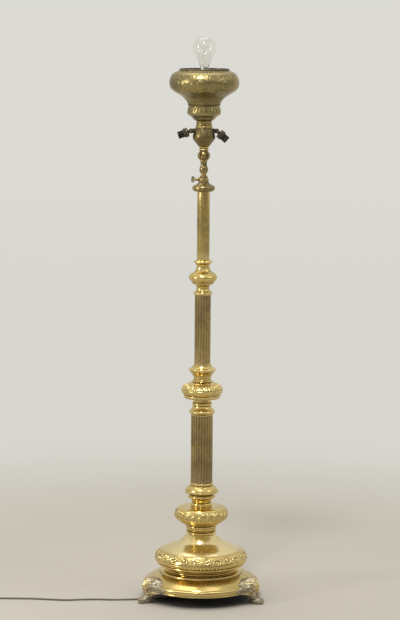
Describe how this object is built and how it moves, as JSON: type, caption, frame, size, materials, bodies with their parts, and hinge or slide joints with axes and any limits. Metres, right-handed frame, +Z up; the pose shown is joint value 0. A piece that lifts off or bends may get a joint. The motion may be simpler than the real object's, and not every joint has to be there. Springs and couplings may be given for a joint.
{
  "type": "column floor lamp",
  "caption": "Tall brass floor lamp on leaf feet, with a reeded column, a telescopic head, two tilting lamp holders and a clear bulb in an embossed cup.",
  "frame": {"origin": "on the lamp's vertical axis, at floor level", "axes": "+Z up along the column; -Y towards the front, with one foot straight back along +Y and the thumbscrew on the -X side"},
  "size_m": [0.8104, 0.34, 1.463],
  "materials": {
    "polished_brass": "polished, lacquer worn, light tarnish in the recesses",
    "foot_brass": "cast, grey-green tarnish, knees rubbed bright",
    "reeded_brass": "antique brown, reeds rubbed",
    "plain_brass": "dull olive, fine drawn lines",
    "cup_brass": "embossed, green-brown patina with rubbed high spots",
    "dark_bronze": "dark brown-black patina",
    "thumb_brass": "turned, handled edges",
    "steel": "turned steel",
    "zinc_screw": "zinc-plated steel",
    "iron": "rough cast, painted black",
    "plate_paint": "dull painted sheet steel",
    "bush_plastic": "black moulded",
    "guide_plastic": "white acetal",
    "ceramic": "white glazed",
    "clear_glass": "clear blown glass",
    "cap_metal": "pressed cap, slightly dulled",
    "filament_wire": "drawn wire",
    "cord_plastic": "dark brown flexible sheath",
    "plug_plastic": "moulded ivory",
    "pin_brass": "bright drawn pins"
  },
  "bodies": {
    "column": {"foot_left": "foot_brass", "foot_right": "foot_brass", "foot_back": "foot_brass", "base_screws": "zinc_screw", "base_disc": "polished_brass", "base_weight": "iron", "bottom_plate": "plate_paint", "cord_bush": "bush_plastic", "ring_stack": "polished_brass", "bell_shell": "polished_brass", "neck_collar": "polished_brass", "cushion_knop": "polished_brass", "cushion_cap": "polished_brass", "lower_collar": "polished_brass", "lower_reeded_tube": "reeded_brass", "knop_foot": "polished_brass", "middle_knop": "polished_brass", "knop_cap": "polished_brass", "upper_reeded_tube": "reeded_brass", "upper_knop": "polished_brass", "plain_tube": "plain_brass", "clamp_collar": "plain_brass", "column_tube": "steel", "column_nut": "steel", "column_flex": "cord_plastic", "floor_cord": "cord_plastic", "cord_coil": "cord_plastic", "plug_body": "plug_plastic", "plug_pins": "pin_brass"},
    "guide": {"rod_guide": "guide_plastic"},
    "clamp_pad": {"clamp_pad": "thumb_brass"},
    "thumbscrew": {"thumbscrew": "thumb_brass"},
    "head": {"sliding_rod": "plain_brass", "rod_flex": "cord_plastic", "stem_knop": "plain_brass", "cage_knop": "plain_brass", "urn_body": "plain_brass", "urn_cap": "plain_brass", "urn_screw": "dark_bronze", "terminal_block": "ceramic", "branch_arms": "dark_bronze", "knuckle_pins": "steel", "cup_stand": "cup_brass", "cup_bowl": "cup_brass", "cup_rim": "dark_bronze", "centre_nipple": "steel", "cup_nuts": "thumb_brass", "bulb_holder": "thumb_brass", "holder_insulator": "ceramic"},
    "left_lampholder": {"left_holder": "dark_bronze", "left_shade_ring": "dark_bronze", "left_insulator": "ceramic"},
    "right_lampholder": {"right_holder": "dark_bronze", "right_shade_ring": "dark_bronze", "right_insulator": "ceramic"},
    "bulb": {"bulb_glass": "clear_glass", "bulb_cap": "cap_metal", "bulb_stem": "clear_glass", "bulb_filament": "filament_wire"}
  },
  "joints": [
    {"name": "head_slide", "type": "slide", "parent": "column", "child": "guide", "axis": [0, 0, 1], "range_m": [-0.006, 0.4], "deforming": ["column_flex"]},
    {"name": "head_turn", "type": "hinge", "parent": "guide", "child": "head", "pos_m": [0, 0, 1.065], "axis": [0, 0, 1], "range_deg": [-170, 170]},
    {"name": "pad_travel", "type": "slide", "parent": "column", "child": "clamp_pad", "axis": [-1, 0, 0], "range_m": [0, 0.0025]},
    {"name": "thumbscrew_turn", "type": "hinge", "parent": "clamp_pad", "child": "thumbscrew", "pos_m": [-0.02, 0, 1.0965], "axis": [-1, 0, 0], "range_deg": [0, 1080]},
    {"name": "left_tilt", "type": "hinge", "parent": "head", "child": "left_lampholder", "pos_m": [-0.033, 0, 1.221], "axis": [0, 1, 0], "range_deg": [-25, 35]},
    {"name": "right_tilt", "type": "hinge", "parent": "head", "child": "right_lampholder", "pos_m": [0.033, 0, 1.221], "axis": [0, 1, 0], "range_deg": [-57, 3]},
    {"name": "bulb_twist", "type": "hinge", "parent": "head", "child": "bulb", "pos_m": [0, 0, 1.38], "axis": [0, 0, 1], "range_deg": [0, 18]}
  ],
  "couplings": [
    {"joint": "pad_travel", "follows": "thumbscrew_turn", "m_per_rad": 0.00012732}
  ]
}
